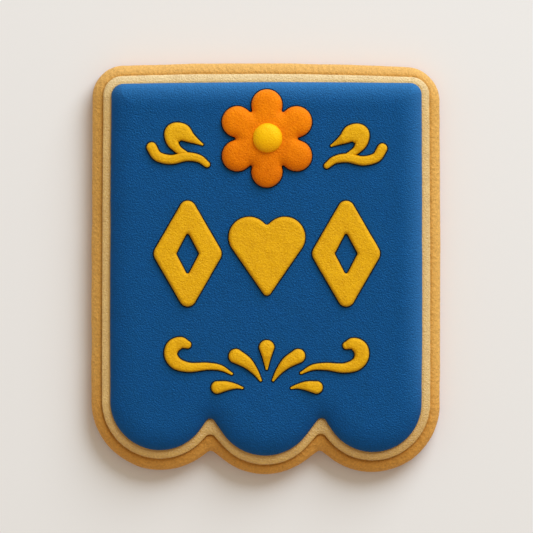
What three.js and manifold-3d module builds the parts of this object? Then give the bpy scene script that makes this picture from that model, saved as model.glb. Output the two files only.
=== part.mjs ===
// An iced sugar biscuit cut as a hanging banner with three scallops at its foot.
// It lies iced side up: millimetres, +Z up, +Y towards the banner's straight top edge,
// with the origin at the middle of its flat underside.

import {
  BufferAttribute,
  BufferGeometry,
  CatmullRomCurve3,
  Group,
  LatheGeometry,
  Mesh,
  MeshStandardMaterial,
  Vector2,
  Vector3,
} from 'three';
import { LoftGeometry } from 'three/addons/geometries/LoftGeometry.js';
import { mergeVertices } from 'three/addons/utils/BufferGeometryUtils.js';
import Module from 'manifold-3d';

const wasm = await Module();
wasm.setup();

// Heights of the three layers and of what is piped on them, in mm.
const BISCUIT_HEIGHT = 6.6;
const CREAM_HEIGHT = 1.2;
const BLUE_HEIGHT = 1.9;
const PIPED_HEIGHT = 1.3;
const FLOWER_HEIGHT = 2.1;
const FLOWER_CENTRE_HEIGHT = 1.7;
const CREAM_Z = BISCUIT_HEIGHT;
const BLUE_Z = CREAM_Z + CREAM_HEIGHT;
const TOP_Z = BLUE_Z + BLUE_HEIGHT;

// Each layer's outline is a belt round circles [x, y, radius], counterclockwise from the
// top left corner. A negative radius is a notch between two scallops. The sheet swells a
// little: bow is how far the middle of its top edge rises above the corners.
const BISCUIT = {
  bow: 1.2,
  circles: [
    [-34.05, 40.7, 8.2],
    [-25.6, -31.75, 16.75],
    [-13.45, -45.35, -1.45],
    [-0.35, -33.35, 16.3],
    [13.1, -45.35, -1.5],
    [25.6, -32.65, 16.35],
    [33.7, 40.4, 8.2],
  ],
};
const CREAM = {
  bow: 0.9,
  circles: [
    [-34.9, 41.45, 4.8],
    [-25.85, -32.1, 13.95],
    [-13.6, -41.9, -1.5],
    [-0.3, -33.9, 13.6],
    [13.2, -41.75, -1.5],
    [25.7, -32.55, 13.9],
    [34.7, 41.35, 4.8],
  ],
};
const BLUE = {
  bow: 0.25,
  circles: [
    [-34.45, 41.85, 3.05],
    [-25.75, -31.9, 11.9],
    [-13.55, -37.55, -1.2],
    [-0.3, -32.9, 12.1],
    [13.35, -37.3, -1.2],
    [25.8, -32.4, 11.7],
    [34.4, 42.0, 3.05],
  ],
};
const SIDE_BOW = 0.2;
const HALF_WIDTH = 42.4;
const HALF_LENGTH = 50;

// Wall height, then the width of the rounded shoulder above it.
const BISCUIT_FOOT = 0.5;
const BISCUIT_WALL = 4.2;
const BISCUIT_SHOULDER = 2.4;
const CREAM_WALL = 0.4;
const CREAM_SHOULDER = 1.5;
const BLUE_WALL = 0.5;
const BLUE_SHOULDER = 2.1;
const PIPED_WALL = 0.5;
const PIPED_SHOULDER = 0.8;

// Six round petals with a narrow notch between each pair, and a button in the middle.
const FLOWER_AT = [0.1, 31.55];
const BUTTON_AT = [0.15, 0.15];
const PETALS = 6;
const PETAL_REACH = 8.25;
const PETAL_RADIUS = 3.75;
const NOTCH_REACH = 7.9;
const NOTCH_RADIUS = 0.4;
const FLOWER_WALL = 0.5;
const FLOWER_SHOULDER = 2.6;
const FLOWER_CENTRE_RADIUS = 3.6;

// Piped strokes as [x, y, half width] along the middle of the line, drawn on the left
// half. The right half mirrors them, a little lower or turned, as a hand pipes them.
const TOP_SCROLL_STEM = [
  [-27.85, 29.5, 1.25],
  [-26.5, 27.4, 1.2],
  [-23.3, 26.5, 1.15],
  [-19.4, 27.2, 1.1],
  [-16.3, 26.7, 0.95],
  [-14.4, 25.3, 0.75],
];
const TOP_SCROLL_LEAF = [
  [-19.5, 27.6, 0.8],
  [-21.7, 29.2, 1.0],
  [-22.75, 31.0, 1.65],
  [-22.35, 32.9, 2.4],
  [-20.4, 33.05, 2.2],
  [-18.5, 31.8, 1.35],
  [-15.6, 30.25, 0.3],
];
const LOW_SCROLL = [
  [-19.2, -18.3, 0.95],
  [-20.8, -17.75, 1.35],
  [-22.6, -18.7, 1.75],
  [-23.1, -20.8, 1.7],
  [-22.0, -22.7, 1.45],
  [-19.0, -23.8, 1.1],
  [-14.3, -23.6, 0.9],
  [-11.2, -23.95, 0.7],
  [-8.4, -25.4, 0.3],
];
const INNER_DROP = [
  [-7.45, -21.1, 1.75],
  [-4.85, -22.65, 1.4],
  [-2.75, -24.9, 0.8],
  [-1.4, -27.0, 0.3],
];
const OUTER_DROP = [
  [-11.9, -28.7, 1.55],
  [-9.6, -28.35, 1.15],
  [-7.4, -28.45, 0.6],
  [-5.8, -28.85, 0.25],
];
const CENTRE_DROP = [
  [0.05, -19.1, 1.9],
  [0.05, -21.7, 1.0],
  [0.05, -24.2, 0.3],
];
const MIRROR_X = 0.1;
const TOP_MIRROR = { drop: 0.3, turn: 0 };
const LOW_MIRROR = { drop: 0.2, turn: -2 };
const DROP_MIRROR = { drop: 0, turn: 0 };

// The band across the middle: an open lozenge on either side of a heart.
const BAND_Y = 3.7;
const LOZENGE_X = 19.2;
const LOZENGE_OUTER = [
  [0, 10.8, 2.0],
  [-5.8, 0, 2.4],
  [0, -10.8, 2.0],
  [5.8, 0, 2.4],
];
const LOZENGE_INNER = [
  [0, 4.3, 0.5],
  [-2.25, 0, 0.5],
  [0, -4.3, 0.5],
  [2.25, 0, 0.5],
];
const HEART = [
  [-4.3, 4.0, 4.9],
  [0, -9.1, 1.0],
  [4.3, 4.0, 4.9],
  [0, 7.8, -0.8],
];

const BISCUIT_COLOUR = '#cf9a55';
const CREAM_COLOUR = '#e3cb96';
const BLUE_COLOUR = '#1d5a91';
const YELLOW_COLOUR = '#e9ae16';
const ORANGE_COLOUR = '#ea7c12';
const BUTTON_COLOUR = '#f8c01c';

const CHORD_ERROR = 0.03;
const WIDEST_STEP = 16;
const STRAIGHT_STEP = 9;
const SHOULDER_STEPS = 4;
const STROKE_STEPS_PER_POINT = 3;
const STROKE_ARCH_STEPS = 8;
const STROKE_END_ANGLES = [15, 40, 65];
const BUTTON_SEGMENTS = 32;
const MERGE_DISTANCE = 1e-4;

const radians = (degrees) => (degrees * Math.PI) / 180;

// The outline of a belt pulled round circles, moved inwards by inset. The belt's stretch
// from circle i to the next one faces outwards along the angle normals[i].
function belt(circles, inset = 0) {
  const count = circles.length;
  const normals = circles.map(([x, y, radius], i) => {
    const [nextX, nextY, nextRadius] = circles[(i + 1) % count];
    const distance = Math.hypot(nextX - x, nextY - y);
    const lean = Math.max(-1, Math.min(1, (radius - nextRadius) / distance));
    return Math.atan2(nextY - y, nextX - x) - Math.acos(lean);
  });
  const points = [];
  circles.forEach(([x, y, radius], i) => {
    const from = normals[(i + count - 1) % count];
    const turn = wrapped(normals[i] - from, radius < 0);
    const steps = arcSteps(turn, radius);
    for (let step = 0; step <= steps; step += 1) {
      const angle = from + (turn * step) / steps;
      const reach = radius - inset;
      points.push(new Vector2(x + reach * Math.cos(angle), y + reach * Math.sin(angle)));
    }
  });
  return withStraightSteps(points);
}

// Enough steps along an arc to keep its chords within CHORD_ERROR of the true curve.
function arcSteps(turn, radius) {
  const finest = Math.sqrt((8 * CHORD_ERROR) / Math.abs(radius));
  const step = Math.min(radians(WIDEST_STEP), finest);
  return Math.max(2, Math.ceil(Math.abs(turn) / step));
}

// Long straight stretches get points of their own, so that a sheet can swell there.
function withStraightSteps(points) {
  return points.flatMap((point, i) => {
    const next = points[(i + 1) % points.length];
    const steps = Math.max(1, Math.round(point.distanceTo(next) / STRAIGHT_STEP));
    return Array.from({ length: steps }, (_, step) => point.clone().lerp(next, step / steps));
  });
}

// A turn angle brought to 0..360 degrees, or to -360..0 on a notch.
function wrapped(angle, isNotch) {
  const full = 2 * Math.PI;
  const positive = ((angle % full) + full) % full;
  return isNotch ? positive - full : positive;
}

// The slight swelling of a sheet's edges away from its corners.
function swell(point, bow) {
  const across = point.x / HALF_WIDTH;
  const along = point.y / HALF_LENGTH;
  const x = point.x + SIDE_BOW * (1 - along * along) * across;
  const y = point.y + bow * (1 - across * across) * Math.max(0, along);
  return new Vector2(x, y);
}

// Insets and heights of a straight wall with a quarter-ellipse shoulder above it.
function shoulderProfile(wall, shoulder, height) {
  const rings = [{ inset: 0, z: 0 }];
  for (let step = 0; step <= SHOULDER_STEPS; step += 1) {
    const angle = radians((90 * step) / SHOULDER_STEPS);
    const inset = shoulder * (1 - Math.cos(angle));
    rings.push({ inset, z: wall + (height - wall) * Math.sin(angle) });
  }
  return rings;
}

function section(points, z) {
  return points.map((point) => new Vector3(point.x, point.y, z));
}

// A geometry reduced to one closed shell: shared corners merged, empty triangles dropped.
function closed(geometry) {
  const bare = new BufferGeometry();
  bare.setAttribute('position', geometry.attributes.position);
  bare.setIndex(geometry.index);
  const merged = mergeVertices(bare, MERGE_DISTANCE);
  const index = merged.index.array;
  const kept = [];
  for (let i = 0; i < index.length; i += 3) {
    const [a, b, c] = [index[i], index[i + 1], index[i + 2]];
    if (a !== b && b !== c && c !== a) kept.push(a, b, c);
  }
  merged.setIndex(kept);
  merged.computeVertexNormals();
  return merged;
}

function loft(sections, capped = true) {
  return closed(new LoftGeometry(sections, { capStart: capped, capEnd: capped }));
}

function toManifold(geometry) {
  const vertProperties = new Float32Array(geometry.attributes.position.array);
  const triVerts = new Uint32Array(geometry.index.array);
  return new wasm.Manifold(new wasm.Mesh({ numProp: 3, vertProperties, triVerts }));
}

function fromManifold(manifold) {
  const mesh = manifold.getMesh();
  const geometry = new BufferGeometry();
  geometry.setAttribute('position', new BufferAttribute(mesh.vertProperties, 3));
  geometry.setIndex(new BufferAttribute(mesh.triVerts, 1));
  geometry.computeVertexNormals();
  return geometry;
}

// One sheet of the stack, from its profile of insets and heights.
function sheet({ circles, bow }, profile) {
  const rings = profile.map(({ inset, z }) => {
    const outline = belt(circles, inset).map((point) => swell(point, bow));
    return section(outline, z);
  });
  return loft(rings);
}

function biscuit() {
  const profile = shoulderProfile(BISCUIT_WALL, BISCUIT_SHOULDER, BISCUIT_HEIGHT);
  profile[0] = { inset: BISCUIT_FOOT, z: 0 };
  profile.splice(1, 0, { inset: 0, z: BISCUIT_FOOT });
  return sheet(BISCUIT, profile);
}

function cream() {
  return sheet(CREAM, shoulderProfile(CREAM_WALL, CREAM_SHOULDER, CREAM_HEIGHT));
}

function blueIcing() {
  return sheet(BLUE, shoulderProfile(BLUE_WALL, BLUE_SHOULDER, BLUE_HEIGHT));
}

// The petals and the notches between them, as circles round the flower's own centre.
function flowerCircles() {
  const circles = [];
  for (let petal = 0; petal < PETALS; petal += 1) {
    const angle = radians(90 + (360 * petal) / PETALS);
    const between = angle + Math.PI / PETALS;
    circles.push([PETAL_REACH * Math.cos(angle), PETAL_REACH * Math.sin(angle), PETAL_RADIUS]);
    circles.push([
      NOTCH_REACH * Math.cos(between),
      NOTCH_REACH * Math.sin(between),
      -NOTCH_RADIUS,
    ]);
  }
  return circles;
}

function flowerPetals() {
  const profile = shoulderProfile(FLOWER_WALL, FLOWER_SHOULDER, FLOWER_HEIGHT);
  return loft(profile.map(({ inset, z }) => section(belt(flowerCircles(), inset), z)));
}

// The round button in the flower: a low dome on a flat base.
function flowerCentre() {
  const profile = [new Vector2(0, 0)];
  for (let step = 0; step <= SHOULDER_STEPS * 2; step += 1) {
    const angle = radians((90 * step) / (SHOULDER_STEPS * 2));
    const x = step === SHOULDER_STEPS * 2 ? 0 : FLOWER_CENTRE_RADIUS * Math.cos(angle);
    profile.push(new Vector2(x, FLOWER_CENTRE_HEIGHT * Math.sin(angle)));
  }
  return closed(new LatheGeometry(profile, BUTTON_SEGMENTS).rotateX(Math.PI / 2));
}

// A half-round arch across a stroke, from its left foot over the top to its right foot.
function arch(at, heading, halfWidth, height) {
  const left = new Vector3(-heading.y, heading.x, 0);
  const points = [];
  for (let step = 0; step <= STROKE_ARCH_STEPS; step += 1) {
    const angle = (Math.PI * step) / STROKE_ARCH_STEPS;
    const point = new Vector3(at.x, at.y, height * Math.sin(angle));
    points.push(point.addScaledVector(left, halfWidth * Math.cos(angle)));
  }
  return points;
}

// A stroke of icing piped along its middle line, with a flat base and rounded ends.
function stroke(line) {
  const curve = new CatmullRomCurve3(line.map(([x, y, half]) => new Vector3(x, y, half)));
  const steps = STROKE_STEPS_PER_POINT * (line.length - 1);
  const sections = [];
  const addArch = (t, back, share) => {
    const at = curve.getPoint(t);
    const heading = curve.getTangent(t).setZ(0).normalize();
    const half = at.z;
    at.addScaledVector(heading, back * half);
    sections.push(arch(at, heading, half * share, Math.min(PIPED_HEIGHT, 1.1 * half) * share));
  };
  const ends = STROKE_END_ANGLES.map(radians);
  ends.forEach((angle) => addArch(0, -Math.cos(angle), Math.sin(angle)));
  for (let step = 0; step <= steps; step += 1) addArch(step / steps, 0, 1);
  ends.reverse().forEach((angle) => addArch(1, Math.cos(angle), Math.sin(angle)));
  return loft(sections);
}

// A stroke of the right half: mirrored, lowered by drop and turned about its first point.
function mirrored(line, { drop, turn }) {
  const flipped = line.map(([x, y]) => new Vector2(2 * MIRROR_X - x, y - drop));
  const pivot = flipped[0].clone();
  return flipped.map((point, i) => {
    point.rotateAround(pivot, radians(turn));
    return [point.x, point.y, line[i][2]];
  });
}

// The two strokes of a top scroll run into each other, so they are joined.
function topScroll(stem, leaf) {
  return fromManifold(toManifold(stroke(stem)).add(toManifold(stroke(leaf))));
}

// A flat-topped shape with rounded edges, cut out of rolled icing.
function heart() {
  const profile = shoulderProfile(PIPED_WALL, PIPED_SHOULDER, PIPED_HEIGHT);
  return loft(profile.map(({ inset, z }) => section(belt(HEART, inset), z)));
}

// A lozenge of the same icing with a lozenge-shaped opening through it.
function lozenge() {
  const profile = shoulderProfile(PIPED_WALL, PIPED_SHOULDER, PIPED_HEIGHT);
  const whole = loft(profile.map(({ inset, z }) => section(belt(LOZENGE_OUTER, inset), z)));
  const margin = 1;
  const openings = [{ inset: 0, z: -margin }, ...profile.slice(1)];
  openings.push({ inset: PIPED_SHOULDER, z: PIPED_HEIGHT + margin });
  const opening = loft(openings.map(({ inset, z }) => section(belt(LOZENGE_INNER, -inset), z)));
  return fromManifold(toManifold(whole).subtract(toManifold(opening)));
}

function piece(name, geometry, colour, roughness, x, y, z) {
  const material = new MeshStandardMaterial({ color: colour, roughness, metalness: 0 });
  const mesh = new Mesh(geometry, material);
  mesh.name = name;
  mesh.position.set(x, y, z);
  return mesh;
}

const group = new Group();
group.add(piece('cookie_base', biscuit(), BISCUIT_COLOUR, 0.85, 0, 0, 0));
group.add(piece('cream_icing', cream(), CREAM_COLOUR, 0.7, 0, 0, CREAM_Z));
group.add(piece('blue_icing', blueIcing(), BLUE_COLOUR, 0.65, 0, 0, BLUE_Z));

const flower = new Group();
flower.position.set(FLOWER_AT[0], FLOWER_AT[1], TOP_Z);
flower.add(piece('flower_petals', flowerPetals(), ORANGE_COLOUR, 0.6, 0, 0, 0));
flower.add(piece('flower_centre', flowerCentre(), BUTTON_COLOUR, 0.55, ...BUTTON_AT, FLOWER_HEIGHT));
group.add(flower);

const yellow = (name, geometry, x = 0, y = 0) => {
  group.add(piece(name, geometry, YELLOW_COLOUR, 0.6, x, y, TOP_Z));
};
yellow('scroll_top_left', topScroll(TOP_SCROLL_STEM, TOP_SCROLL_LEAF));
yellow('scroll_top_right', topScroll(
  mirrored(TOP_SCROLL_STEM, TOP_MIRROR),
  mirrored(TOP_SCROLL_LEAF, TOP_MIRROR),
));
yellow('lozenge_left', lozenge(), MIRROR_X - LOZENGE_X, BAND_Y);
yellow('heart_middle', heart(), MIRROR_X, BAND_Y);
yellow('lozenge_right', lozenge(), MIRROR_X + LOZENGE_X, BAND_Y);
yellow('drop_centre', stroke(CENTRE_DROP));
const pairs = [
  ['scroll_low', LOW_SCROLL, LOW_MIRROR],
  ['drop_inner', INNER_DROP, DROP_MIRROR],
  ['drop_outer', OUTER_DROP, DROP_MIRROR],
];
for (const [name, line, mirror] of pairs) {
  yellow(`${name}_left`, stroke(line));
  yellow(`${name}_right`, stroke(mirrored(line, mirror)));
}

export default group;
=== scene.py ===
import math

import bpy
import numpy as np
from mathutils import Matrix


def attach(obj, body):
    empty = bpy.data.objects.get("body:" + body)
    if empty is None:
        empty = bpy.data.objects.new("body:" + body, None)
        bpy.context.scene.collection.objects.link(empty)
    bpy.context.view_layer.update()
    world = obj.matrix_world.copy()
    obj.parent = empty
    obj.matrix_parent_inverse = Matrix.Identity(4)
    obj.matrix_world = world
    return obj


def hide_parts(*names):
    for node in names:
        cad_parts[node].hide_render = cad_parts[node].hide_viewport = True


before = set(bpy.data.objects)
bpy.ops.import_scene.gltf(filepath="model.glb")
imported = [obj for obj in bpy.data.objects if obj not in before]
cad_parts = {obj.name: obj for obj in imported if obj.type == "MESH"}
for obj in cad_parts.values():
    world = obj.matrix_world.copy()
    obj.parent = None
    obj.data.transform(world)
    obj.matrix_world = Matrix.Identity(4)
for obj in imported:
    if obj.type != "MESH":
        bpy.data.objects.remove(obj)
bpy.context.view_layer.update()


# The biscuit: butter and sugar dough, rolled out, cut with a banner-shaped cutter that has three
# scallops at the foot, and baked to a pale gold. It carries every layer of icing.

# Lengths are in millimetres. An outline is given as circles of x, y and radius, and a negative
# radius is a hollow between two scallops.
MM = 0.001
BISCUIT_CIRCLES = [
    (-35.05, 41.85, 7.1), (-25.65, -32.05, 16.75), (-13.55, -45.55, -1.35), (-0.35, -33.45, 16.35),
    (12.9, -45.55, -1.35), (25.6, -32.95, 16.4), (34.25, 40.85, 7.75),
]
BISCUIT_BOW = 1.2
BISCUIT_TOP = 6.6
BISCUIT_FOOT = 0.5
BISCUIT_WALL = 4.2
BISCUIT_SHOULDER = 4.4
RIM_WIDTH = 3.6
SIDE_BOW = 0.2
HALF_WIDTH = 42.4
HALF_LENGTH = 50.0
# the outline of the cream coat, which presses a groove into the biscuit
CREAM_CIRCLES = [
    (-35.1, 42.1, 4.4), (-25.85, -32.1, 13.95), (-13.65, -41.65, -1.5), (-0.3, -33.9, 13.6),
    (13.15, -41.5, -1.5), (25.7, -32.55, 13.9), (35.3, 42.1, 4.15),
]
CREAM_BOW = 1.0
# the point that the rings of the biscuit and its coats shrink to, and how many lie under a sheet
MIDDLE = (0, -2)
RINGS_UNDER = 3
# lumps of a surface, each as how far they rise, their size and their seed
BISCUIT_LUMPS = [(0.1, 6.0, 1), (0.03, 1.6, 2), (0.018, 0.7, 3)]


def linear(colour, alpha=1.0):
    """Turns an sRGB hex colour into the linear values that a shader reads."""
    parts = [int(colour[i : i + 2], 16) / 255 for i in (1, 3, 5)]
    return (*[p / 12.92 if p <= 0.04045 else ((p + 0.055) / 1.055) ** 2.4 for p in parts], alpha)


def add_node(tree, kind, inputs=(), **settings):
    """Adds a shader node, changes its settings, and sets or links each named input."""
    node = tree.nodes.new("ShaderNode" + kind)
    for key, value in settings.items():
        setattr(node, key, value)
    for key, value in dict(inputs).items():
        if isinstance(value, bpy.types.NodeSocket):
            tree.links.new(value, node.inputs[key])
        else:
            node.inputs[key].default_value = value
    return node


def lumps(points, size, seed):
    """Smooth random values from -1 to 1.

    Each corner of a cubic lattice has one, from a hash of its place, and between the corners they
    are blended by the share of the way, smoothed.
    """
    place = points / size
    cell = np.floor(place).astype(np.int64)
    part = place - cell
    part = part * part * (3 - 2 * part)
    total = np.zeros(points.shape[:-1])
    for corner in np.ndindex(2, 2, 2):
        code = (cell + corner) @ np.array([73856093, 19349663, 83492791]) + seed * 9176263
        code = (code ^ (code >> 13)) * 1274126177 & 0x7FFFFFFF
        code = (code ^ (code >> 15)) * 668265263 & 0x7FFFFFFF
        weight = np.prod(np.where(np.array(corner) == 1, part, 1 - part), axis=-1)
        total += weight * ((code >> 8 & 0xFFFF) / 32767.5 - 1)
    return total


def relief(points, layers):
    """The sum of several layers of lumps, each given as how far they rise, their size and seed."""
    return sum(rise * lumps(points, size, seed) for rise, size, seed in layers)


def belt(circles, spacing):
    """A belt pulled round circles, passing behind those of negative radius.

    Each of its points is an anchor, a reach and a direction: the outline at any inset lies at the
    anchor plus the reach less the inset along the direction. The points are closer together round
    the small circles than along the straights.
    """
    rings = np.array(circles)
    following = np.roll(rings, -1, axis=0)
    gap = following[:, :2] - rings[:, :2]
    distance = np.hypot(*gap.T)
    lean = np.clip((rings[:, 2] - following[:, 2]) / distance, -1, 1)
    normal = np.arctan2(gap[:, 1], gap[:, 0]) - np.arccos(lean)
    anchors, reaches, angles = [], [], []
    for i, (x, y, radius) in enumerate(rings):
        turn = (normal[i] - normal[i - 1]) % (2 * math.pi)
        if radius < 0:
            turn -= 2 * math.pi
        count = max(6, round(abs(turn) * (abs(radius) + 2) / spacing))
        share = np.arange(count) / count
        anchors.append(np.tile([x, y], (count, 1)))
        reaches.append(np.full(count, radius))
        angles.append(normal[i - 1] + turn * share)
        count = max(2, round(distance[i] / spacing))
        share = np.arange(count)[:, None] / count
        anchors.append(rings[i, :2] * (1 - share) + following[i, :2] * share)
        reaches.append((radius * (1 - share) + following[i, 2] * share)[:, 0])
        angles.append(np.full(count, normal[i]))
    angles = np.concatenate(angles)
    directions = np.stack([np.cos(angles), np.sin(angles)], axis=1)
    return np.concatenate(anchors), np.concatenate(reaches)[:, None], directions


def swell(outline, bow):
    """Bows the long sides out a little, and the top edge by the given rise at its middle."""
    x, y = outline[..., 0], outline[..., 1]
    wide = x + SIDE_BOW * (1 - (y / HALF_LENGTH) ** 2) * x / HALF_WIDTH
    high = y + bow * (1 - (x / HALF_WIDTH) ** 2) * np.maximum(0, y / HALF_LENGTH)
    return np.stack([wide, high], axis=-1)


def outline_of(circles, bow, spacing):
    """The outline of a sheet, as points along it by x, y."""
    anchors, reaches, directions = belt(circles, spacing)
    return swell(anchors + reaches * directions, bow)


def depth_inside(places, outline):
    """Distance of each place from the nearest stretch of a closed outline."""
    start = outline
    along = np.roll(outline, -1, axis=0) - start
    square = np.maximum((along**2).sum(axis=1), 1e-12)
    nearest = np.empty(places.shape[:-1])
    for k, ring in enumerate(places):
        x, y = (ring[:, None, axis] - start[None, :, axis] for axis in (0, 1))
        share = np.clip((x * along[:, 0] + y * along[:, 1]) / square, 0, 1)
        square_away = (x - share * along[:, 0]) ** 2 + (y - share * along[:, 1]) ** 2
        nearest[k] = np.sqrt(square_away.min(axis=1))
    return nearest


def rolled(depth, wall, height, roll):
    """Height at a depth inside the edge: the wall's, then a quarter ellipse up to the full one."""
    share = np.clip(1 - depth / roll, 0, 1)
    return wall + (height - wall) * np.sqrt(1 - share**2)


def cut_sheet(circles, bow, spacing, foot, insets, shape, middle, rings_inside):
    """Closed rings of a sheet with the belt's outline, as an array of rings by points by x, y, z.

    The foot gives an inset and a height for each ring up the wall, and shape the height for each
    inset after it. Inside the last inset the rings shrink towards the middle, at shape's height,
    in steps that are widest near the edge.
    """
    anchors, reaches, directions = belt(circles, spacing)
    steps = [inset for inset, _ in foot] + list(insets)
    edge = [swell(anchors + (reaches - inset) * directions, bow) for inset in steps]
    outline = swell(anchors + reaches * directions, bow)
    middle = np.array(middle)
    under = [middle + (edge[0] - middle) * s for s in np.linspace(0, 1, RINGS_UNDER + 1)[:-1]]
    shrink = (1 - np.linspace(0, 1, rings_inside + 1)[1:]) ** 1.15
    inside = np.array([middle + (edge[-1] - middle) * s for s in shrink])
    low = [foot[0][1]] * RINGS_UNDER + [height for _, height in foot]
    rise = np.concatenate([low, shape(np.array(insets))])
    height = np.repeat(rise[:, None], len(anchors), axis=1)
    height = np.concatenate([height, shape(depth_inside(inside, outline))])
    return np.concatenate([np.array(under + edge + list(inside)), height[..., None]], axis=-1)


def pressed(rings, circles, bow, depth, width):
    """The rings with a soft groove along the outline of the layer that lies on them.

    The groove is a bell curve of the distance from that outline. To save time, only the upper
    rings that come near it are worked out, and every twelfth point shows which those are.
    """
    outline = outline_of(circles, bow, 0.6)
    flat, height = rings[..., :2], rings[..., 2]
    reach = depth_inside(flat[:, ::12], outline[::2]).min(axis=1)
    near = np.nonzero((reach < 4 * width) & (height.min(axis=1) > 0.5 * height.max()))[0]
    away = depth_inside(flat[near], outline)
    rings[near, :, 2] -= depth * np.exp(-((away / width) ** 2))
    return rings


def facing(rings):
    """Outward direction at each point of closed rings: the way round crossed with the way up."""
    round_it = np.roll(rings, -1, axis=1) - np.roll(rings, 1, axis=1)
    up_it = np.gradient(rings, axis=0)
    out = np.cross(round_it, up_it)
    return out / np.maximum(np.linalg.norm(out, axis=-1, keepdims=True), 1e-9)


def skin(name, stacks):
    """A piece over stacks of closed rings, each stack's ends gathered into a point."""
    points, faces, sizes, start = [], [], [], 0
    for rings in stacks:
        across, around = rings.shape[:2]
        ends = rings[[0, -1]].mean(axis=1)
        points += [rings.reshape(-1, 3), ends]
        here = start + np.arange(across * around).reshape(across, around)
        beside = np.roll(here, -1, axis=1)
        quads = np.stack([here[:-1], beside[:-1], beside[1:], here[1:]], axis=-1).reshape(-1, 4)
        low = np.full(around, start + across * around)
        bottom = np.stack([low, beside[0], here[0]], axis=-1)
        top = np.stack([low + 1, here[-1], beside[-1]], axis=-1)
        faces += [quads.ravel(), bottom.ravel(), top.ravel()]
        sizes += [np.full(len(quads), 4), np.full(2 * around, 3)]
        start += across * around + 2
    points, faces, sizes = np.concatenate(points), np.concatenate(faces), np.concatenate(sizes)
    mesh = bpy.data.meshes.new(name)
    mesh.vertices.add(len(points))
    mesh.vertices.foreach_set("co", (points * MM).astype(np.float32).ravel())
    mesh.loops.add(len(faces))
    mesh.loops.foreach_set("vertex_index", faces.astype(np.int32))
    mesh.polygons.add(len(sizes))
    mesh.polygons.foreach_set("loop_start", (np.cumsum(sizes) - sizes).astype(np.int32))
    mesh.polygons.foreach_set("use_smooth", np.ones(len(sizes), dtype=bool))
    mesh.update(calc_edges=True)
    mesh.validate()
    piece = bpy.data.objects.new(name, mesh)
    bpy.context.scene.collection.objects.link(piece)
    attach(piece, "root")
    return piece


def stored(piece, layer, values):
    """Stores one value for each point of the rings, and none for the two gathered ends."""
    stack = piece.data.attributes.new(layer, "FLOAT", "POINT")
    stack.data.foreach_set("value", np.append(values.ravel(), [0, 0]).astype(np.float32))


def rounded_foot(foot, wall, base, steps):
    """Insets and heights up a wall that is rounded in at its foot by a quarter circle."""
    low = np.linspace(0, 1, 5)[:-1] * math.pi / 2
    up = np.linspace(foot, wall, steps, endpoint=False)
    return [(foot * (1 - math.sin(a)), base + foot * (1 - math.cos(a))) for a in low] + [
        (0, base + height) for height in up
    ]


def deepened(material, colour, high, low):
    """Turns the colour towards a deeper one down the piece, wholly from the low Y downwards."""
    tree = material.node_tree
    surface = tree.nodes["Principled BSDF"]
    place = add_node(tree, "TexCoord").outputs["Object"]
    along = add_node(tree, "SeparateXYZ", {"Vector": place}).outputs["Y"]
    share = add_node(
        tree, "MapRange", {"Value": along, "From Min": high * MM, "From Max": low * MM},
        interpolation_type="SMOOTHSTEP",
    )
    before = surface.inputs["Base Color"].links[0].from_socket
    deep = add_node(
        tree, "Mix", {"Factor": 1.0, "A": before, "B": linear(colour)}, data_type="RGBA",
        blend_type="MULTIPLY",
    )
    mixed = add_node(
        tree, "Mix", {"Factor": share.outputs["Result"], "A": before, "B": deep.outputs["Result"]},
        data_type="RGBA",
    )
    tree.links.new(mixed.outputs["Result"], surface.inputs["Base Color"])
    return material


def baked_dough():
    """Oven-baked sugar dough: dry and matt, with fine crumb, pale gold and browner in patches."""
    material = bpy.data.materials.new("baked_sugar_dough")
    material.use_nodes = True
    tree = material.node_tree
    surface = tree.nodes["Principled BSDF"]
    place = add_node(tree, "TexCoord").outputs["Object"]
    # patches of browning about 9 mm across
    patches = add_node(tree, "TexNoise", {"Vector": place, "Scale": 110, "Detail": 2})
    # crumb of about 0.5 mm, the grain of the flour and sugar
    crumb = add_node(
        tree, "TexNoise", {"Vector": place, "Scale": 2400, "Detail": 3, "Roughness": 0.7}
    )
    # pores about 1 mm apart, where the dough let its steam out
    pores = add_node(tree, "TexVoronoi", {"Vector": place, "Scale": 950})
    golden = add_node(
        tree, "Mix",
        {"Factor": patches.outputs["Fac"], "A": linear("#d69e48"), "B": linear("#ca9039")},
        data_type="RGBA",
    )
    # painted shade: darker beside the icing, where the cream's step shades it, and paler at the rim
    rim_painted_light = add_node(tree, "Attribute", attribute_name="rim_painted_light")
    pale = add_node(
        tree, "Mix",
        {"Factor": rim_painted_light.outputs["Fac"], "A": golden.outputs["Result"], "B": linear("#e6b262")},
        data_type="RGBA",
    )
    # the wall browned most at its foot, against the hot tray
    height = add_node(tree, "SeparateXYZ", {"Vector": place}).outputs["Z"]
    low = add_node(
        tree, "MapRange", {"Value": height, "From Min": 3.6 * MM, "From Max": 0.4 * MM}
    )
    toasted = add_node(
        tree, "Mix",
        {"Factor": low.outputs["Result"], "A": pale.outputs["Result"], "B": linear("#bd7430")},
        data_type="RGBA",
    )
    # the crumb's hollows are darker and its grains paler
    speckle = add_node(
        tree, "MapRange",
        {
            "Value": crumb.outputs["Fac"],
            "From Min": 0.3, "From Max": 0.7, "To Min": 0.8, "To Max": 1.18,
        },
    )
    colour = add_node(
        tree, "VectorMath", {0: toasted.outputs["Result"], "Scale": speckle.outputs["Result"]},
        operation="SCALE",
    )
    tree.links.new(colour.outputs["Vector"], surface.inputs["Base Color"])
    grain = add_node(
        tree, "Math", {0: crumb.outputs["Fac"], 1: pores.outputs["Distance"]}, operation="ADD"
    )
    bump = add_node(
        tree, "Bump", {"Height": grain.outputs["Value"], "Strength": 0.8, "Distance": 0.3 * MM}
    )
    tree.links.new(bump.outputs["Normal"], surface.inputs["Normal"])
    surface.inputs["Roughness"].default_value = 0.6
    surface.inputs["IOR"].default_value = 1.45
    surface.inputs["Specular IOR Level"].default_value = 0.3
    return material


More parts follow.
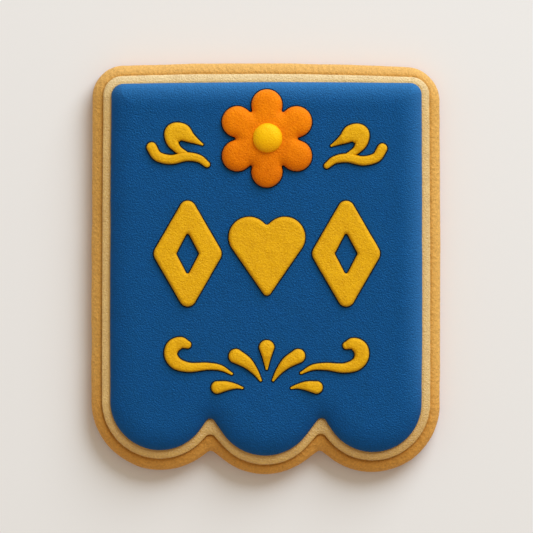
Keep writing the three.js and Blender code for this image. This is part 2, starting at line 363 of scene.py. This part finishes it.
def baked_edge(depth):
    """Height of the biscuit by the distance from its edge."""
    return rolled(depth, BISCUIT_WALL, BISCUIT_TOP, BISCUIT_SHOULDER)


biscuit_rings = cut_sheet(
    BISCUIT_CIRCLES, BISCUIT_BOW, 0.32, rounded_foot(BISCUIT_FOOT, BISCUIT_WALL, 0, 9),
    np.concatenate([2.9 * np.linspace(0, 1, 16) ** 2, np.arange(3.0, 4.7, 0.09)]),
    baked_edge, MIDDLE, 16,
)
biscuit_rings = pressed(biscuit_rings, CREAM_CIRCLES, CREAM_BOW, 0.4, 0.22)
# the lumps fade out over the last millimetre above the flat underside
above_tray = np.clip(biscuit_rings[..., 2:] - 0.3, 0, 1)
rise = relief(biscuit_rings, BISCUIT_LUMPS)[..., None]
biscuit_rings += facing(biscuit_rings) * above_tray * rise
biscuit = skin("biscuit", [biscuit_rings])
# the first ring that stands upright, above those under the biscuit and round its foot
upright = biscuit_rings[RINGS_UNDER + 4, ::4, :2]
from_rim = depth_inside(biscuit_rings[..., :2], upright)
# the layer of painted light at the rim and painted shade beside the icing, fading over RIM_WIDTH
stored(biscuit, "rim_painted_light", np.clip(1 - from_rim / RIM_WIDTH, 0, 1))
# painted light and shade: palest at the top edge, nearest the lamp, a little yellower away from it,
# and browner at the scalloped end, furthest from the lamp
dough_painted_lit_top = deepened(baked_dough(), "#fbf7e2", 48, 38)
biscuit.data.materials.append(deepened(dough_painted_lit_top, "#f0dfc2", -15, -48))
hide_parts("cookie_base")


# The cream icing: a thin flat coat of ivory sugar icing, rolled out and laid on the biscuit a few
# millimetres inside its edge. Its surface is dry, matt and slightly sandy.

# the outline of the blue coat, which presses a groove into this one
BLUE_CIRCLES = [
    (-34.7, 41.9, 2.85), (-25.8, -31.95, 12.0), (-13.6, -37.5, -1.2), (-0.3, -33.0, 12.3),
    (13.3, -37.4, -1.2), (25.72, -32.55, 11.85), (34.75, 42.15, 2.8),
]
BLUE_BOW = 0.5
CREAM_HEIGHT = 1.2
CREAM_TOP = BISCUIT_TOP + CREAM_HEIGHT
CREAM_WALL = 0.5
CREAM_ROLL = 3.6
CREAM_LUMPS = [(0.05, 5.0, 4), (0.02, 1.4, 5)]
# each coat reaches this far into the one below, so that no light passes under its edge
SUNK = 0.3
# width of the painted shade on the cream beside the blue coat
SHADE_BESIDE_BLUE_WIDTH = 1.0


def sugar_icing(name, light, deep, grain, depth, gloss, ior, roughness=0.45):
    """Set sugar icing: satin, with the sandy grain of icing sugar and a soft mottle in its dye.

    The grain is the size of the sugar in millimetres, and the depth how deep its bumps are. The
    gloss is the tint of the shine, and the IOR is above the usual 1.5 where the real icing has
    brighter satin edges.
    """
    material = bpy.data.materials.new(name)
    material.use_nodes = True
    tree = material.node_tree
    surface = tree.nodes["Principled BSDF"]
    place = add_node(tree, "TexCoord").outputs["Object"]
    # mottle of about 3 mm, where the dye is a little uneven
    mottle = add_node(tree, "TexNoise", {"Vector": place, "Scale": 330, "Detail": 2})
    # the sugar grain, as coarse as it needs to be to show from this far
    sugar = add_node(
        tree, "TexNoise", {"Vector": place, "Scale": 1000 / grain, "Detail": 3, "Roughness": 0.65}
    )
    blend = add_node(
        tree, "Math", {0: mottle.outputs["Fac"], 1: 0.4, 2: sugar.outputs["Fac"]},
        operation="MULTIPLY_ADD",
    )
    share = add_node(
        tree, "MapRange", {"Value": blend.outputs["Value"], "From Min": 0.48, "From Max": 0.92}
    )
    colour = add_node(
        tree, "Mix", {"Factor": share.outputs["Result"], "A": linear(deep), "B": linear(light)},
        data_type="RGBA",
    )
    tree.links.new(colour.outputs["Result"], surface.inputs["Base Color"])
    bump = add_node(
        tree, "Bump", {"Height": sugar.outputs["Fac"], "Strength": 0.7, "Distance": depth * MM}
    )
    tree.links.new(bump.outputs["Normal"], surface.inputs["Normal"])
    surface.inputs["Roughness"].default_value = roughness
    surface.inputs["IOR"].default_value = ior
    surface.inputs["Specular IOR Level"].default_value = 1.0
    surface.inputs["Specular Tint"].default_value = gloss
    return material


def tinged(material, colour, layer):
    """Mixes the colour in by a layer of values that the piece carries."""
    tree = material.node_tree
    surface = tree.nodes["Principled BSDF"]
    share = add_node(tree, "Attribute", attribute_name=layer)
    before = surface.inputs["Base Color"].links[0].from_socket
    mixed = add_node(
        tree, "Mix", {"Factor": share.outputs["Fac"], "A": before, "B": linear(colour)},
        data_type="RGBA",
    )
    tree.links.new(mixed.outputs["Result"], surface.inputs["Base Color"])
    return material


def cream_edge(depth):
    """Height of the cream icing by the distance from its edge."""
    return BISCUIT_TOP + rolled(depth, CREAM_WALL, CREAM_HEIGHT, CREAM_ROLL)


cream_rings = cut_sheet(
    CREAM_CIRCLES, CREAM_BOW, 0.34,
    rounded_foot(0.2, CREAM_WALL + SUNK, BISCUIT_TOP - SUNK, 5),
    np.concatenate([2.4 * np.linspace(0, 1, 14) ** 2, np.arange(2.5, 4.3, 0.075)]),
    cream_edge, MIDDLE, 20,
)
cream_rings = pressed(cream_rings, BLUE_CIRCLES, BLUE_BOW, 0.2, 0.13)
cream_rings += facing(cream_rings) * relief(cream_rings, CREAM_LUMPS)[..., None]
cream = skin("cream_icing_coat", [cream_rings])
ivory_icing = sugar_icing("ivory_sugar_icing", "#f8db9c", "#d6b272", 0.42, 0.5, (1, 1, 1, 1), 1.55)
# painted shade: beside the blue coat, where its step shades the cream, it turns a warmer yellow
from_blue = depth_inside(cream_rings[..., :2], outline_of(BLUE_CIRCLES, BLUE_BOW, 1.0))
stored(cream, "shade_beside_blue", np.clip(1 - from_blue / SHADE_BESIDE_BLUE_WIDTH, 0, 1))
# painted light and shade: it is palest at the top edge, nearest the lamp, a little yellower away
# from it, and most of all round the scallops
ivory_icing = deepened(tinged(ivory_icing, "#f4c66f", "shade_beside_blue"), "#f5e7bf", 48, 38)
cream.data.materials.append(deepened(ivory_icing, "#ecdba6", -28, -47))
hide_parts("cream_icing")


# The blue icing: a thicker coat of dyed sugar icing flooded inside the cream one, so that it set
# with a rolled edge and a gentle crown. The surface is velvety, with a fine sandy grain.

BLUE_HEIGHT = 1.9
BLUE_TOP = CREAM_TOP + BLUE_HEIGHT
BLUE_CROWN = 0.1
BLUE_WALL = 0.45
BLUE_ROLL = 6.0
BLUE_LUMPS = [(0.05, 9.0, 6), (0.015, 1.8, 7)]
# where the painted highlight lies, inside the top and right edges, and how strong it is
HIGHLIGHT_WIDTH = 6.0
HIGHLIGHT_TOP = 45.0
HIGHLIGHT_TOP_SHARE = 0.9
HIGHLIGHT_RIGHT = 37.7
HIGHLIGHT_RIGHT_SHARE = 0.7
HIGHLIGHT_FOOT = -38.0
HIGHLIGHT_FADE = 16.0


def blue_edge(depth):
    """Height of the blue icing by the distance from its edge, rising to its crown."""
    return CREAM_TOP + rolled(depth, BLUE_WALL, BLUE_HEIGHT + BLUE_CROWN, BLUE_ROLL)


blue_rings = cut_sheet(
    BLUE_CIRCLES, BLUE_BOW, 0.4, rounded_foot(0.15, BLUE_WALL + SUNK, CREAM_TOP - SUNK, 4),
    2.6 * np.linspace(0, 1, 20) ** 2, blue_edge, MIDDLE, 64,
)
blue_rings += facing(blue_rings) * relief(blue_rings, BLUE_LUMPS)[..., None]
blue = skin("blue_icing_coat", [blue_rings])
# painted highlight: the blue is palest inside the top edge and the right one, which face the lamp
across, along = blue_rings[..., 0], blue_rings[..., 1]
highlight_top = HIGHLIGHT_TOP_SHARE * np.clip(1 - (HIGHLIGHT_TOP - along) / HIGHLIGHT_WIDTH, 0, 1) ** 2
highlight_right = HIGHLIGHT_RIGHT_SHARE * np.clip(1 - (HIGHLIGHT_RIGHT - across) / HIGHLIGHT_WIDTH, 0, 1) ** 2
highlight_right *= np.clip((along - HIGHLIGHT_FOOT) / HIGHLIGHT_FADE, 0, 1)
stored(blue, "painted_highlight", 1 - (1 - highlight_top) * (1 - highlight_right))
blue_icing = sugar_icing(
    "blue_sugar_icing", "#022a6a", "#021e54", 0.36, 0.34, (0.054, 0.47, 0.97, 1), 1.75, 0.5
)
# the painted highlight is mixed in by its layer
blue_icing = tinged(blue_icing, "#34649a", "painted_highlight")
# painted shade: the blue is deepest at the foot of the scallops, furthest from the lamp
blue.data.materials.append(deepened(blue_icing, "#bcc8e0", -38, -46))
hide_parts("blue_icing")


# The flower: six puffed petals of orange icing piped as one pillow, with a round yellow button
# pressed on its middle. A dark hairline of painted contact shade runs round it on the blue.

FLOWER_AT = (0.1, 31.55)
FLOWER_HEIGHT = 2.1
FLOWER_WALL = 0.7
FLOWER_ROLL = 2.8
# how deep the flower reaches into the blue icing
FLOWER_DEPTH = 0.9
VALLEY_DEPTH = 0.1
VALLEY_WIDTH = 0.8
VALLEY_START = 3.2
VALLEY_FADE = 3.0
PETAL_LUMPS = [(0.06, 3.5, 8), (0.015, 1.0, 9)]
PETALS = 6
PETAL_REACH = 8.25
PETAL_RADIUS = 3.72
LOWEST_SHORTER = 0.2
NOTCH_REACH = 7.9
NOTCH_RADIUS = 0.4
BUTTON_AT = (FLOWER_AT[0] + 0.15, FLOWER_AT[1] + 0.15)
BUTTON_RADIUS = 3.6
BUTTON_HEIGHT = 1.7
BUTTON_POINTS = 120
# the seam is a dark film of painted contact shade round each piece's foot
SEAM_WIDTH = 0.3
SEAM_HEIGHT = 0.05
SEAM_WALL = 0.2
# height above the blue icing of the seam's two rings and of the wall's foot inside them
SEATED_RINGS = {
    RINGS_UNDER + 2: SEAM_HEIGHT, RINGS_UNDER + 3: SEAM_HEIGHT, RINGS_UNDER + 4: SEAM_WALL,
}


def blue_below(places):
    """Height of the blue icing's surface under each place, with its lumps."""
    height = blue_edge(depth_inside(places, outline_of(BLUE_CIRCLES, BLUE_BOW, 1.0)))
    return height + relief(np.concatenate([places, height[..., None]], axis=-1), BLUE_LUMPS)


def seated(rings):
    """The rings with the seam's ones laid on the blue icing, and the wall's foot just above it."""
    for k, rise in SEATED_RINGS.items():
        rings[k, :, 2] = blue_below(rings[k : k + 1, :, :2])[0] + rise
    return rings


def seamed_foot(wall, base, below):
    """Insets and heights up a wall that stands on a thin film a little wider than the piece.

    It starts this far below the base, inside the blue icing, and goes out and up to the film.
    """
    return [
        (0, base - below), (-SEAM_WIDTH, base - below), (-SEAM_WIDTH, base), (-0.02, base),
        (0, base + 0.2), (0, base + 0.5 * (0.3 + wall)),
    ]


def contact_shade_film():
    """Painted contact shade: a thin, dark, matt film round the foot of each piece on the blue."""
    material = bpy.data.materials.new("painted_contact_shade")
    material.use_nodes = True
    tree = material.node_tree
    surface = tree.nodes["Principled BSDF"]
    place = add_node(tree, "TexCoord").outputs["Object"]
    # the painted shade is uneven, in stretches of about 1 mm
    streaks = add_node(tree, "TexNoise", {"Vector": place, "Scale": 900, "Detail": 2})
    shade_tone = add_node(
        tree, "Mix",
        {"Factor": streaks.outputs["Fac"], "A": linear("#04080e"), "B": linear("#101c28")},
        data_type="RGBA",
    )
    tree.links.new(shade_tone.outputs["Result"], surface.inputs["Base Color"])
    surface.inputs["Roughness"].default_value = 0.7
    surface.inputs["Specular IOR Level"].default_value = 0.15
    return material


def lay_contact_shade(piece, material):
    """Gives the faces on the blue icing round the piece's foot the painted contact shade."""
    mesh = piece.data
    points = np.empty(3 * len(mesh.vertices), np.float32)
    mesh.vertices.foreach_get("co", points)
    points = points.reshape(1, -1, 3) / MM
    above = (points[..., 2] - blue_below(points[..., :2]))[0]
    corners = np.empty(len(mesh.loops), np.int32)
    mesh.loops.foreach_get("vertex_index", corners)
    starts = np.empty(len(mesh.polygons), np.int32)
    mesh.polygons.foreach_get("loop_start", starts)
    highest = np.maximum.reduceat(above[corners], starts)
    mesh.materials.append(material)
    mesh.polygons.foreach_set("material_index", (highest < SEAM_HEIGHT + 0.03).astype(np.int32))


# painted contact shade, laid round the foot of each piece on the blue
contact_shade = contact_shade_film()


def flower_circles():
    """Circles of the flower's outline: one for each petal, and a small hollow one between them."""
    circles = []
    for k in range(PETALS):
        turn = math.pi / 2 + k * 2 * math.pi / PETALS
        notch = turn + math.pi / PETALS
        tip = PETAL_REACH - (LOWEST_SHORTER if k == PETALS // 2 else 0)
        for angle, reach, radius in (
            (turn, tip, PETAL_RADIUS), (notch, NOTCH_REACH, -NOTCH_RADIUS)
        ):
            x = FLOWER_AT[0] + reach * math.cos(angle)
            y = FLOWER_AT[1] + reach * math.sin(angle)
            circles.append((x, y, radius))
    return circles


def petal_edge(depth):
    """Height of the flower by the distance from its edge."""
    return BLUE_TOP + rolled(depth, FLOWER_WALL, FLOWER_HEIGHT, FLOWER_ROLL)


petal_rings = cut_sheet(
    flower_circles(), 0, 0.16, seamed_foot(FLOWER_WALL, BLUE_TOP, FLOWER_DEPTH),
    1.5 * np.linspace(0, 1, 20) ** 2, petal_edge, FLOWER_AT, 40,
)
# a soft valley runs out between each two petals: a bell curve of the distance from its line
away = petal_rings[..., :2] - FLOWER_AT
reach = np.hypot(away[..., 0], away[..., 1])
turn = np.arctan2(away[..., 1], away[..., 0]) - math.pi / 2 - math.pi / PETALS
turn = (turn + math.pi / PETALS) % (2 * math.pi / PETALS) - math.pi / PETALS
valley = np.exp(-((reach * np.sin(turn) / VALLEY_WIDTH) ** 2))
valley *= np.clip((reach - VALLEY_START) / VALLEY_FADE, 0, 1)
petal_rings[..., 2] -= VALLEY_DEPTH * valley * (petal_rings[..., 2] > BLUE_TOP + FLOWER_WALL)
petal_rings += facing(petal_rings) * relief(petal_rings, PETAL_LUMPS)[..., None]
petals = skin("flower_petals_piped", [seated(petal_rings)])
orange_icing = sugar_icing(
    "orange_sugar_icing", "#ff8a04", "#e67004", 0.4, 0.4, (1.0, 0.5, 0.03, 1), 1.5
)
# painted shade: the lower petals, furthest from the lamp, are a little darker and redder
orange_icing = deepened(orange_icing, "#eee2da", FLOWER_AT[1] + 6, FLOWER_AT[1] - 9)
petals.data.materials.append(orange_icing)
lay_contact_shade(petals, contact_shade)
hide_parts("flower_petals")

# the button's half section is a superellipse, turned about its middle, and its foot is sunk into
# the petals
button_turn = np.linspace(0, 2 * math.pi, BUTTON_POINTS, endpoint=False)
button_rise = np.linspace(0, math.pi / 2, 40)[:-1]
button_radius = np.append(BUTTON_RADIUS, BUTTON_RADIUS * np.cos(button_rise) ** 0.85)
button_height = BLUE_TOP + FLOWER_HEIGHT - 0.1 + (BUTTON_HEIGHT + 0.1) * np.sin(button_rise) ** 0.9
button_rings = np.stack(
    [
        BUTTON_AT[0] + np.outer(button_radius, np.cos(button_turn)),
        BUTTON_AT[1] + np.outer(button_radius, np.sin(button_turn)),
        np.outer(np.append(BLUE_TOP + 1.2, button_height), np.ones(BUTTON_POINTS)),
    ],
    axis=-1,
)
button_rings += facing(button_rings) * relief(button_rings, [(0.03, 1.6, 10)])[..., None]
button = skin("flower_button", [button_rings])
button_icing = sugar_icing(
    "button_yellow_icing", "#ffc404", "#f4b002", 0.4, 0.25, (1.0, 0.8, 0.08, 1), 1.5
)
# painted shade: the button's lower side, away from the lamp, is a deeper yellow
button.data.materials.append(
    deepened(button_icing, "#fce6b4", BUTTON_AT[1] + 1, BUTTON_AT[1] - 3.5)
)
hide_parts("flower_centre")


# The scroll work: strokes of yellow icing piped on the blue, thick where the bag was held and
# drawn out to a point where it was pulled away. The right half mirrors the left one.

# a stroke is given as knots of x, y and half its width
PIPED_HEIGHT = 1.3
PIPED_LUMPS = [(0.05, 2.2), (0.015, 0.8)]
ROUNDNESS = 3.4
# how far the stroke itself is drawn in, to leave room for its lumps, and how deep its seam starts
DRAWN_IN = 0.05
SEAM_DEPTH = 0.35
MIRROR_X = 0.1
TOP_SCROLL_STEM = [
    (-27.85, 29.5, 1.25), (-26.5, 27.4, 1.2), (-23.3, 26.5, 1.15), (-19.4, 27.2, 1.1),
    (-16.3, 26.7, 0.95), (-14.4, 25.3, 0.75),
]
TOP_SCROLL_LEAF = [
    (-19.5, 27.6, 0.8), (-21.7, 29.2, 1.0), (-22.75, 31.0, 1.65), (-22.35, 32.9, 2.4),
    (-20.4, 33.05, 2.2), (-18.5, 31.85, 1.3), (-16.8, 30.85, 0.65), (-15.5, 30.15, 0.25),
]
LOW_SCROLL = [
    (-19.15, -18.35, 0.95), (-20.75, -17.9, 1.45), (-22.6, -18.8, 1.7), (-23.2, -20.8, 1.6),
    (-22.0, -22.75, 1.5), (-19.0, -23.8, 1.2), (-14.3, -23.6, 0.9), (-11.2, -23.95, 0.7),
    (-8.4, -25.4, 0.3),
]
# the right hook was piped a little wider and closer in than the left one
HOOK_CLOSER = np.zeros((len(LOW_SCROLL), 3))
HOOK_CLOSER[1:5] = [(0, 0, 0.05), (-0.1, 0, 0.1), (-0.25, 0, 0.16), (-0.12, 0.05, 0.05)]
INNER_DROP = [(-7.45, -21.1, 1.75), (-4.85, -22.65, 1.4), (-2.75, -24.9, 0.8), (-1.4, -27.0, 0.3)]
OUTER_DROP = [(-11.9, -28.7, 1.55), (-9.6, -28.35, 1.15), (-7.4, -28.45, 0.6), (-5.8, -28.85, 0.25)]
CENTRE_DROP = [(0.05, -19.1, 1.9), (0.05, -21.7, 1.0), (0.05, -24.2, 0.3)]


def smooth_through(knots, count):
    """A centripetal Catmull-Rom curve through the knots, with the same count on each stretch."""
    knots = np.array(knots, dtype=float)
    knots = np.concatenate([[2 * knots[0] - knots[1]], knots, [2 * knots[-1] - knots[-2]]])
    out = []
    for a, b, c, d in zip(knots, knots[1:], knots[2:], knots[3:]):
        ab, bc, cd = (np.sqrt(np.linalg.norm(q - p)) for p, q in ((a, b), (b, c), (c, d)))
        slope_b = ((b - a) / ab - (c - a) / (ab + bc) + (c - b) / bc) * bc
        slope_c = ((c - b) / bc - (d - b) / (bc + cd) + (d - c) / cd) * bc
        t = np.linspace(0, 1, count, endpoint=False)[:, None]
        out.append(
            b * (2 * t**3 - 3 * t**2 + 1) + slope_b * (t**3 - 2 * t**2 + t)
            + c * (3 * t**2 - 2 * t**3) + slope_c * (t**3 - t**2)
        )
    return np.concatenate(out + [knots[-2:-1]])


def swept(line, extra, per_end):
    """Middle, sideways direction and half width along a piped line, wider by extra, with its ends.

    Each end follows a circle of the end's own half width, almost to its tip.
    """
    way = np.gradient(line[:, :2], axis=0)
    way /= np.linalg.norm(way, axis=1, keepdims=True)
    lean = np.linspace(0, math.pi / 2, per_end + 1)[1:] * 0.985
    first, last = line[0, 2] + extra, line[-1, 2] + extra
    before = line[0, :2] - np.outer(np.sin(lean[::-1]) * first, way[0])
    after = line[-1, :2] + np.outer(np.sin(lean) * last, way[-1])
    middle = np.concatenate([before, line[:, :2], after])
    half = np.concatenate([first * np.cos(lean[::-1]), line[:, 2] + extra, last * np.cos(lean)])
    way = np.concatenate([np.tile(way[0], (per_end, 1)), way, np.tile(way[-1], (per_end, 1))])
    return middle, np.stack([-way[:, 1], way[:, 0]], axis=1), half


def piped_stroke(knots, per_stretch=18, per_end=14, around=26):
    """Rings of a piped line: a domed section carried along the curve, with rounded ends.

    Across, the section is a superellipse, as wide as the line and as high as the icing stands,
    which is less where the line is narrow and towards its tips. Under it lies the seam, a thin
    film a little wider than the line.
    """
    line = smooth_through(knots, per_stretch)
    middle, side, half = swept(line, -DRAWN_IN, per_end)
    full = np.pad(line[:, 2], per_end, mode="edge")
    height = np.minimum(PIPED_HEIGHT, 1.1 * full) * (half / full) ** 0.55
    turn = np.linspace(0.1, math.pi - 0.1, around)
    across = np.sign(np.cos(turn)) * np.abs(np.cos(turn)) ** (2 / ROUNDNESS)
    upward = np.abs(np.sin(turn)) ** (2 / ROUNDNESS)
    domed = middle[:, None] + side[:, None] * (half[:, None] * across)[..., None]
    # the seam film carries the painted contact shade
    film, film_side, film_half = swept(line, SEAM_WIDTH - DRAWN_IN, per_end)
    shares = np.array([0.3, 1.0, 1.0, -1.0, -1.0, -0.3])
    seam = film[:, None] + film_side[:, None] * (film_half[:, None] * shares)[..., None]
    flat = np.concatenate([seam[:, :3], domed[:, :1], domed, domed[:, -1:], seam[:, 3:]], axis=1)
    below = blue_below(flat)
    low = np.tile([-SEAM_DEPTH, -SEAM_DEPTH, SEAM_HEIGHT, SEAM_HEIGHT], (len(half), 1))
    top = BLUE_TOP + height[:, None] * upward
    lift = np.maximum(top, below[:, 4:-4] + SEAM_WALL * np.minimum(1, half / full)[:, None])
    high = np.concatenate([below[:, :4] + low, lift, below[:, -4:] + low[:, ::-1]], axis=1)
    return np.concatenate([flat, high[..., None]], axis=-1)


def mirrored(knots, drop, turn):
    """The knots mirrored in the middle line, moved down and turned by degrees about the first."""
    line = np.array(knots) * [-1, 1, 1] + [2 * MIRROR_X, -drop, 0]
    away = line[:, :2] - line[0, :2]
    c, s = math.cos(math.radians(turn)), math.sin(math.radians(turn))
    line[:, :2] = line[0, :2] + away @ np.array([[c, s], [-s, c]])
    return line


def unevenly_piped(stacks, seed):
    """The rings with a slight waver of the hand that held the piping bag, clear of the seam."""
    layers = [(rise, size, seed + k) for k, (rise, size) in enumerate(PIPED_LUMPS)]
    uneven = []
    for rings in stacks:
        clear = np.clip((rings[..., 2:] - BLUE_TOP - 0.2) / 0.3, 0, 1)
        uneven.append(rings + facing(rings) * clear * relief(rings, layers)[..., None])
    return uneven


yellow_icing = sugar_icing(
    "yellow_sugar_icing", "#f2b204", "#da9802", 0.4, 0.45, (1.0, 0.8, 0.12, 1), 1.5
)
scroll_work = {
    "scroll_top_left": [TOP_SCROLL_STEM, TOP_SCROLL_LEAF],
    "scroll_top_right": [mirrored(TOP_SCROLL_STEM, 0.3, 0), mirrored(TOP_SCROLL_LEAF, 0.3, 0)],
    "scroll_low_left": [LOW_SCROLL],
    "scroll_low_right": [mirrored(LOW_SCROLL, 0.2, -2) + HOOK_CLOSER],
    "drop_inner_left": [INNER_DROP],
    "drop_inner_right": [mirrored(INNER_DROP, 0, 0)],
    "drop_outer_left": [OUTER_DROP],
    "drop_outer_right": [mirrored(OUTER_DROP, 0, 0)],
    "drop_centre": [CENTRE_DROP],
}
for k, (node, strokes) in enumerate(scroll_work.items()):
    piped = unevenly_piped([piped_stroke(knots) for knots in strokes], 20 + 2 * k)
    scroll = skin(node + "_piped", piped)
    scroll.data.materials.append(yellow_icing)
    lay_contact_shade(scroll, contact_shade)
    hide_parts(node)


# The middle band: a heart between two open lozenges, cut from the same yellow icing and laid on
# the blue, with softly rounded edges.

BAND_Y = 3.7
BAND_WALL = 0.5
BAND_ROLL = 0.9
LOZENGE_X = 19.2
LOZENGE_OUTER = [(0, 10.8, 2.0), (-5.8, 0, 2.4), (0, -10.8, 2.0), (5.8, 0, 2.4)]
LOZENGE_INNER = [(0, 4.3, 0.5), (-2.25, 0, 0.5), (0, -4.3, 0.5), (2.25, 0, 0.5)]
HEART = [(-4.3, 4.0, 4.9), (0, -9.1, 1.0), (4.3, 4.0, 4.9), (0, 7.8, -0.8)]


def moved(circles, x, y, wider=0):
    """The circles shifted by x and y, and wider in radius."""
    return [(cx + x, cy + y, radius + wider) for cx, cy, radius in circles]


def band_edge(depth):
    """Height of the band's pieces by the distance from their edge."""
    return BLUE_TOP + rolled(depth, BAND_WALL, PIPED_HEIGHT, BAND_ROLL)


heart_rings = cut_sheet(
    moved(HEART, MIRROR_X, BAND_Y), 0, 0.16, seamed_foot(BAND_WALL, BLUE_TOP, SEAM_DEPTH),
    BAND_ROLL * np.linspace(0, 1, 12) ** 2, band_edge, (MIRROR_X, BAND_Y), 40,
)
heart = skin("heart_laid", unevenly_piped([seated(heart_rings)], 50))
heart.data.materials.append(yellow_icing)
lay_contact_shade(heart, contact_shade)
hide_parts("heart_middle")


def even_belt(circles, count):
    """The belt's outline resampled to points that share out its length evenly from its top."""
    anchors, reaches, directions = belt(circles, 0.05)
    outline = anchors + reaches * directions
    outline = np.roll(outline, -int(np.argmax(outline[:, 1])), axis=0)
    loop = np.concatenate([outline, outline[:1]])
    length = np.concatenate([[0], np.cumsum(np.hypot(*np.diff(loop, axis=0).T))])
    wanted = np.linspace(0, length[-1], count, endpoint=False)
    return np.stack([np.interp(wanted, length, loop[:, axis]) for axis in (0, 1)], axis=-1)


def open_lozenge(x, y, count=420, across=40):
    """A closed tube of points round the opening, from the outer edge over the top to the inner.

    Across the top each ring is the outer outline blended into the inner one by a cosine share,
    and its height follows the distance from the nearer of the two.
    """
    outer, inner, wider, narrower = (
        even_belt(moved(circles, x, y, extra), count)
        for circles, extra in (
            (LOZENGE_OUTER, 0), (LOZENGE_INNER, 0),
            (LOZENGE_OUTER, SEAM_WIDTH), (LOZENGE_INNER, -SEAM_WIDTH),
        )
    )
    share = (1 - np.cos(np.linspace(0, math.pi, across))) / 2
    flat = outer[None] * (1 - share[:, None, None]) + inner[None] * share[:, None, None]
    depth = np.minimum(depth_inside(flat, outer), depth_inside(flat, inner))
    top = np.concatenate([flat, band_edge(depth)[..., None]], axis=-1)
    # the seam film, which carries the painted contact shade
    seam = [
        np.concatenate([edge, blue_below(edge[None])[0][:, None] + rise], axis=-1)
        for edge, rise in (
            (wider, -SEAM_DEPTH), (wider, SEAM_HEIGHT), (outer, SEAM_HEIGHT),
            (inner, SEAM_HEIGHT), (narrower, SEAM_HEIGHT), (narrower, -SEAM_DEPTH),
        )
    ]
    return np.concatenate([seam[:3], top, seam[3:]])


def hoop(name, rings):
    """A piece over rings that lead from the outside over the top to the opening and back below."""
    across, count = rings.shape[:2]
    here = np.arange(across * count).reshape(across, count)
    here = np.concatenate([here, here[:1]])
    beside = np.roll(here, -1, axis=1)
    quads = np.stack([here[:-1], beside[:-1], beside[1:], here[1:]], axis=-1).reshape(-1, 4)
    mesh = bpy.data.meshes.new(name)
    mesh.from_pydata((rings.reshape(-1, 3) * MM).tolist(), [], quads.tolist())
    mesh.polygons.foreach_set("use_smooth", np.ones(len(quads), dtype=bool))
    piece = bpy.data.objects.new(name, mesh)
    bpy.context.scene.collection.objects.link(piece)
    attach(piece, "root")
    return piece


for k, (node, x) in enumerate((("lozenge_left", -LOZENGE_X), ("lozenge_right", LOZENGE_X))):
    rings = unevenly_piped([open_lozenge(MIRROR_X + x, BAND_Y)], 60 + 2 * k)[0]
    lozenge = hoop(node + "_laid", rings)
    lozenge.data.materials.append(yellow_icing)
    lay_contact_shade(lozenge, contact_shade)
    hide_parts(node)


# The floor, the light and the camera: a plain pale table top, one large soft lamp above and to the
# right, the room's pale light all round, and a camera straight above.

# lengths here are in metres, as Blender has them, but the sensor's in millimetres
FLOOR_HALF = 2.0
LAMP_DISTANCE = 1.7
LAMP_ELEVATION = math.radians(35)
LAMP_AZIMUTH = math.radians(60)
LAMP_SIZE = 1.4
SENSOR_WIDTH = 36
CAMERA_HEIGHT = 2.0
CAMERA_Y = 0.000594
# the photograph takes in this width at the height of the cookie's rim
FRAME_WIDTH = 0.12927
RIM_HEIGHT = 0.008

floor_mesh = bpy.data.meshes.new("floor")
corners = [(-FLOOR_HALF, -FLOOR_HALF, 0), (FLOOR_HALF, -FLOOR_HALF, 0)]
corners += [(FLOOR_HALF, FLOOR_HALF, 0), (-FLOOR_HALF, FLOOR_HALF, 0)]
floor_mesh.from_pydata(corners, [], [(0, 1, 2, 3)])
floor = bpy.data.objects.new("floor", floor_mesh)
bpy.context.scene.collection.objects.link(floor)
# a painted table top: matt and pale, so that it takes a soft shadow and shows no highlight
floor_paint = bpy.data.materials.new("pale_table_top")
floor_paint.use_nodes = True
floor_surface = floor_paint.node_tree.nodes["Principled BSDF"]
floor_surface.inputs["Base Color"].default_value = linear("#ebe7e2")
floor_surface.inputs["Roughness"].default_value = 0.9
floor_surface.inputs["Specular IOR Level"].default_value = 0.1
floor.data.materials.append(floor_paint)

lamp_data = bpy.data.lights.new("soft_lamp", "AREA")
lamp_data.shape = "DISK"
lamp_data.size = LAMP_SIZE
# the energy that lights a level surface under the lamp to its own colour, whatever the distance
lamp_data.energy = math.pi**2 * LAMP_DISTANCE**2 / math.sin(LAMP_ELEVATION)
# cooler than the room's light, so that shadows are a little warmer than the lit floor
lamp_data.color = (0.53, 0.59, 0.67)
lamp = bpy.data.objects.new("soft_lamp", lamp_data)
lamp.location = (
    LAMP_DISTANCE * math.cos(LAMP_ELEVATION) * math.cos(LAMP_AZIMUTH),
    LAMP_DISTANCE * math.cos(LAMP_ELEVATION) * math.sin(LAMP_AZIMUTH),
    LAMP_DISTANCE * math.sin(LAMP_ELEVATION),
)
lamp.rotation_euler = (math.pi / 2 - LAMP_ELEVATION, 0, LAMP_AZIMUTH + math.pi / 2)
bpy.context.scene.collection.objects.link(lamp)

room = bpy.data.worlds.new("room")
room.use_nodes = True
room.node_tree.nodes["Background"].inputs["Color"].default_value = (0.52, 0.465, 0.39, 1)
room.node_tree.nodes["Background"].inputs["Strength"].default_value = 1.0
bpy.context.scene.world = room
bpy.context.scene.view_settings.view_transform = "Standard"

camera_data = bpy.data.cameras.new("camera")
camera_data.sensor_width = SENSOR_WIDTH
camera_data.lens = SENSOR_WIDTH * (CAMERA_HEIGHT - RIM_HEIGHT) / FRAME_WIDTH
camera_data.clip_end = 10
camera = bpy.data.objects.new("camera", camera_data)
camera.location = (0, CAMERA_Y, CAMERA_HEIGHT)
bpy.context.scene.collection.objects.link(camera)
bpy.context.scene.camera = camera
